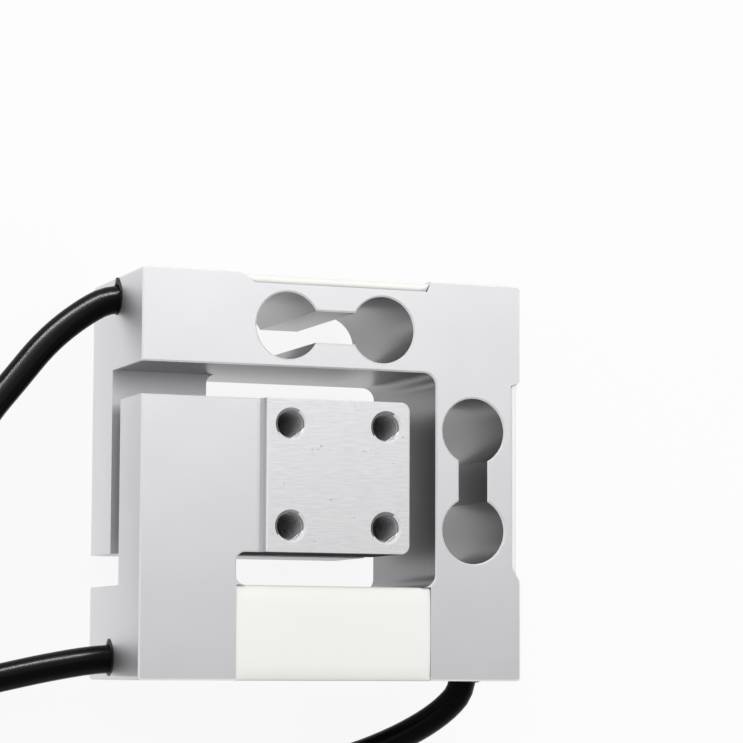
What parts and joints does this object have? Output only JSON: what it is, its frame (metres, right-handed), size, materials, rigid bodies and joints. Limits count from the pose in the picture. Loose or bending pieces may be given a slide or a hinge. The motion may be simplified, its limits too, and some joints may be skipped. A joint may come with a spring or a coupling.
{
  "type": "multi-axis force sensor",
  "caption": "Square milled block with flexure beams in series round a raised tapped pad, silicone over the gauges and round black cables; measures force along three axes.",
  "frame": {"origin": "centre of the rear mounting pad's face, which lies on the floor", "axes": "+Z out of the front pad, +X to the right of the front face, +Y up the front face"},
  "size_m": [0.1543, 0.0778, 0.029],
  "materials": {
    "aluminium_body": "fine bead blasted, pads milled",
    "silicone": "satin white silicone",
    "gauge_foil": "polyimide film",
    "terminal": "copper-clad strip with solder",
    "bridge_lead": "thin insulated wire",
    "seal": "black sealing compound",
    "cable_jacket": "smooth black PVC",
    "lead_insulation": "coloured insulated wires",
    "strap": "woven hook-and-loop strap"
  },
  "bodies": {
    "root": {"sensor_body": "aluminium_body", "top_beam_cover": "silicone", "right_beam_cover": "silicone", "bottom_beam_cover": "silicone", "top_gauge_1": "gauge_foil", "top_gauge_2": "gauge_foil", "top_gauge_3": "gauge_foil", "top_gauge_4": "gauge_foil", "right_gauge_1": "gauge_foil", "right_gauge_2": "gauge_foil", "right_gauge_3": "gauge_foil", "right_gauge_4": "gauge_foil", "bottom_gauge_1": "gauge_foil", "bottom_gauge_2": "gauge_foil", "bottom_gauge_3": "gauge_foil", "bottom_gauge_4": "gauge_foil", "top_terminal_strip": "terminal", "right_terminal_strip": "terminal", "bottom_terminal_strip": "terminal", "top_bridge_leads": "bridge_lead", "right_bridge_leads": "bridge_lead", "bottom_bridge_leads": "bridge_lead", "top_cable_seal": "seal", "right_cable_seal": "seal", "bottom_cable_seal": "seal", "top_cable": "cable_jacket", "right_cable": "cable_jacket", "bottom_cable": "cable_jacket", "top_cable_coil": "cable_jacket", "right_cable_coil": "cable_jacket", "bottom_cable_coil": "cable_jacket", "top_lead_ends": "lead_insulation", "right_lead_ends": "lead_insulation", "bottom_lead_ends": "lead_insulation", "coil_strap_1": "strap", "coil_strap_2": "strap"}
  },
  "joints": []
}
